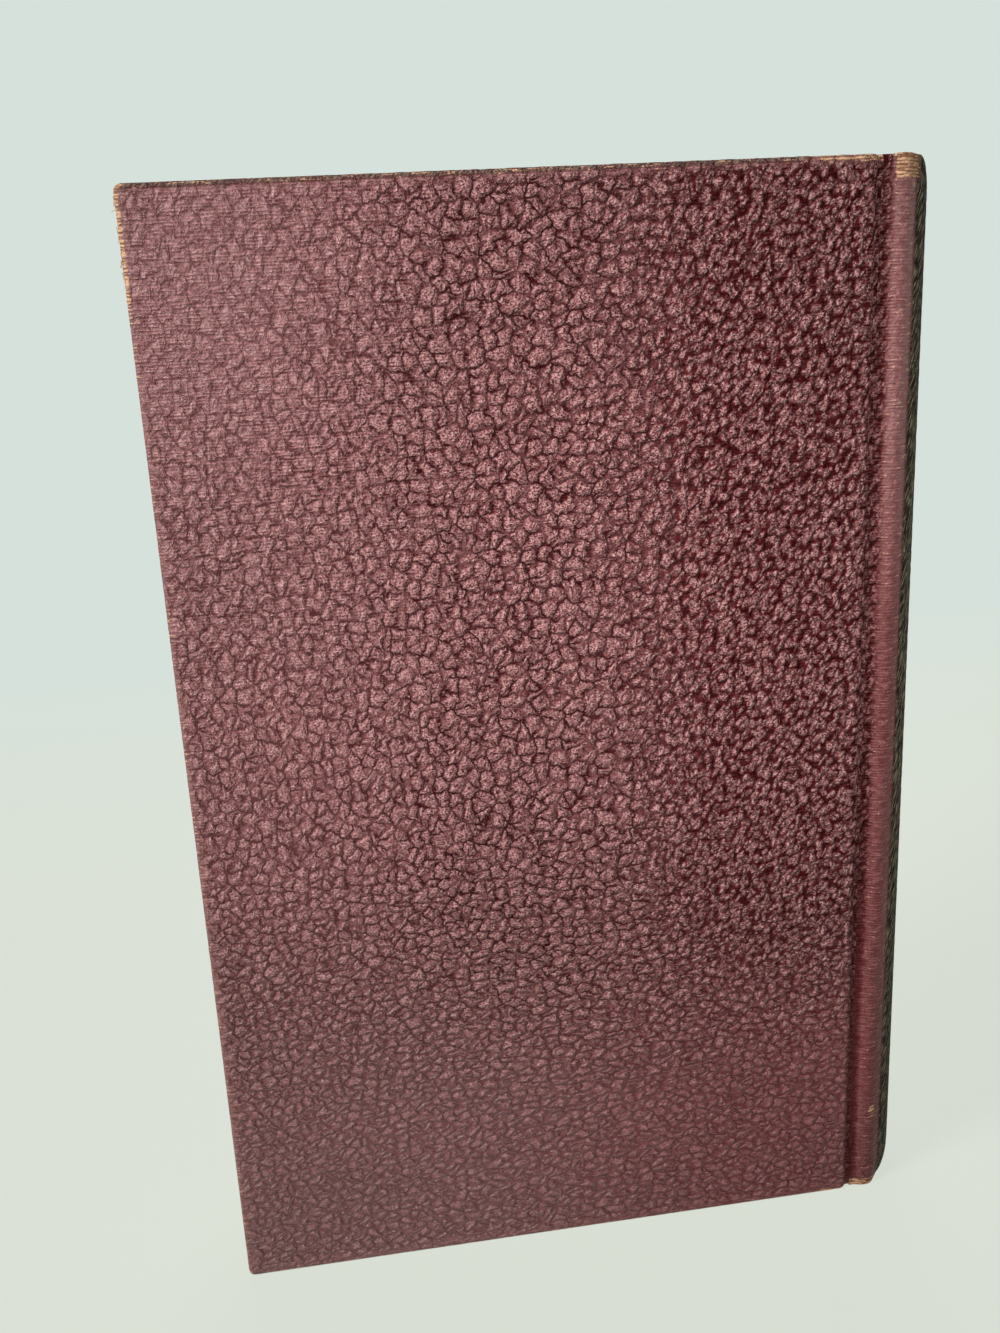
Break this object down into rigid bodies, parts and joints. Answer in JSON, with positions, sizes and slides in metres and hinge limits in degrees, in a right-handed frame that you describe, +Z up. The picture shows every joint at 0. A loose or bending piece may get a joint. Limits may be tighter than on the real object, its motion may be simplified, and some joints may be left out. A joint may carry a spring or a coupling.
{
  "type": "hardback book",
  "caption": "Cloth-bound hardback book with a rounded spine, hinged covers, endpapers and a closed block of leaves, standing on its tail.",
  "frame": {"origin": "centre of the tail edge's bounding box, on the surface the book stands on", "axes": "+X towards the spine, -Y out of the back cover, +Y out of the front cover, +Z up to the head"},
  "size_m": [0.1284, 0.027, 0.19],
  "materials": {
    "bookcloth": "leather-grained burgundy bookcloth with a soft sheen",
    "leaves": "cream uncoated paper, trimmed edges",
    "endpaper": "plain cream paper",
    "card": "grey pulp board",
    "mull_cloth": "open cotton gauze set in glue",
    "kraft_paper": "brown kraft paper",
    "band_cloth": "woven cotton band with a rolled bead"
  },
  "bodies": {
    "block": {"text_block": "leaves", "back_flyleaf": "endpaper", "front_flyleaf": "endpaper", "mull": "mull_cloth", "spine_lining": "kraft_paper", "headband": "band_cloth", "tailband": "band_cloth", "spine_inlay": "card", "spine_cloth": "bookcloth"},
    "back_cover": {"back_board": "card", "back_cloth": "bookcloth", "back_mull_flap": "mull_cloth", "back_pastedown": "endpaper"},
    "front_cover": {"front_board": "card", "front_cloth": "bookcloth", "front_mull_flap": "mull_cloth", "front_pastedown": "endpaper"}
  },
  "joints": [
    {"name": "back_cover_hinge", "type": "hinge", "parent": "block", "child": "back_cover", "pos_m": [0.05235, -0.0135, 0], "axis": [0, 0, 1], "range_deg": [0, 178]},
    {"name": "front_cover_hinge", "type": "hinge", "parent": "block", "child": "front_cover", "pos_m": [0.05235, 0.0135, 0], "axis": [0, 0, -1], "range_deg": [0, 178]}
  ]
}
